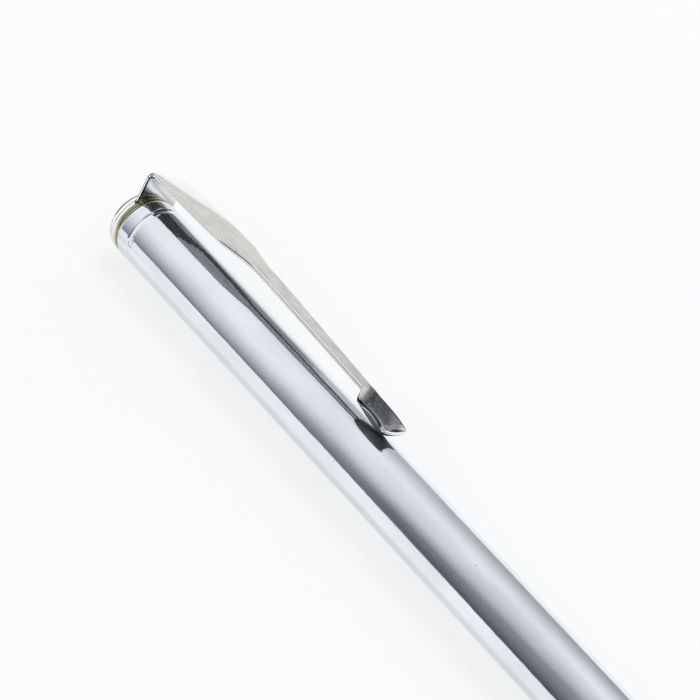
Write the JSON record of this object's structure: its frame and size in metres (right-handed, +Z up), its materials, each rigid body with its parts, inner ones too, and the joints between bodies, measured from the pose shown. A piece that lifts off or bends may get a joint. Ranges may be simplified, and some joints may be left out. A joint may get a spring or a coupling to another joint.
{
  "type": "telescopic pen",
  "caption": "Slim plated ballpoint pen whose nested tube sections pull out of the barrel into a long pointer, with a sprung sheet-metal pocket clip at its tail.",
  "frame": {"origin": "centre of the tail cap's flat end face, on the pen's axis", "axes": "+X along the pen from the tail cap to the writing point, +Z up as the pen lies, with the clip turned a third of a right angle from +Z towards +Y"},
  "size_m": [0.1345, 0.009, 0.0101],
  "materials": {
    "barrel_chrome": "polished chrome plate",
    "section_chrome": "polished chrome plate, lightly drawn",
    "clip_nickel": "nickel plate, finely scratched",
    "turned_brass": "tarnished turned brass",
    "spring_bronze": "rolled spring bronze",
    "refill_brass": "bright drawn brass",
    "ink_paste": "glossy paste ink",
    "grease": "glossy grease",
    "point_metal": "turned nickel silver",
    "ball_carbide": "ground carbide"
  },
  "bodies": {
    "barrel": {"barrel_tube": "barrel_chrome", "tail_cap": "barrel_chrome", "tail_plug": "turned_brass", "clip_collar": "clip_nickel"},
    "clip": {"clip_blade": "clip_nickel"},
    "section_1": {"section_1_tube": "section_chrome", "section_1_bush": "turned_brass", "section_1_spring": "spring_bronze"},
    "section_2": {"section_2_tube": "section_chrome", "section_2_bush": "turned_brass", "section_2_spring": "spring_bronze"},
    "section_3": {"section_3_tube": "section_chrome", "section_3_bush": "turned_brass", "section_3_spring": "spring_bronze"},
    "section_4": {"section_4_tube": "section_chrome", "section_4_bush": "turned_brass", "section_4_spring": "spring_bronze"},
    "section_5": {"section_5_tube": "section_chrome", "section_5_bush": "turned_brass", "section_5_spring": "spring_bronze", "tip_holder": "turned_brass", "nose_cone": "barrel_chrome", "refill_tube": "refill_brass", "refill_ink": "ink_paste", "refill_follower": "grease", "refill_stop": "turned_brass", "refill_point": "point_metal", "writing_ball": "ball_carbide"}
  },
  "joints": [
    {"name": "clip_flex", "type": "hinge", "parent": "barrel", "child": "clip", "pos_m": [0.00085, 0.00276, 0.00417], "axis": [0, -0.8339, 0.5519], "range_deg": [0, 4], "stiffness_Nm_per_rad": 3, "springref_deg": -1.15},
    {"name": "section_1_slide", "type": "slide", "parent": "barrel", "child": "section_1", "axis": [1, 0, 0], "range_m": [0, 0.1012]},
    {"name": "section_2_slide", "type": "slide", "parent": "section_1", "child": "section_2", "axis": [1, 0, 0], "range_m": [0, 0.0997]},
    {"name": "section_3_slide", "type": "slide", "parent": "section_2", "child": "section_3", "axis": [1, 0, 0], "range_m": [0, 0.0982]},
    {"name": "section_4_slide", "type": "slide", "parent": "section_3", "child": "section_4", "axis": [1, 0, 0], "range_m": [0, 0.0967]},
    {"name": "section_5_slide", "type": "slide", "parent": "section_4", "child": "section_5", "axis": [1, 0, 0], "range_m": [0, 0.0952]}
  ]
}
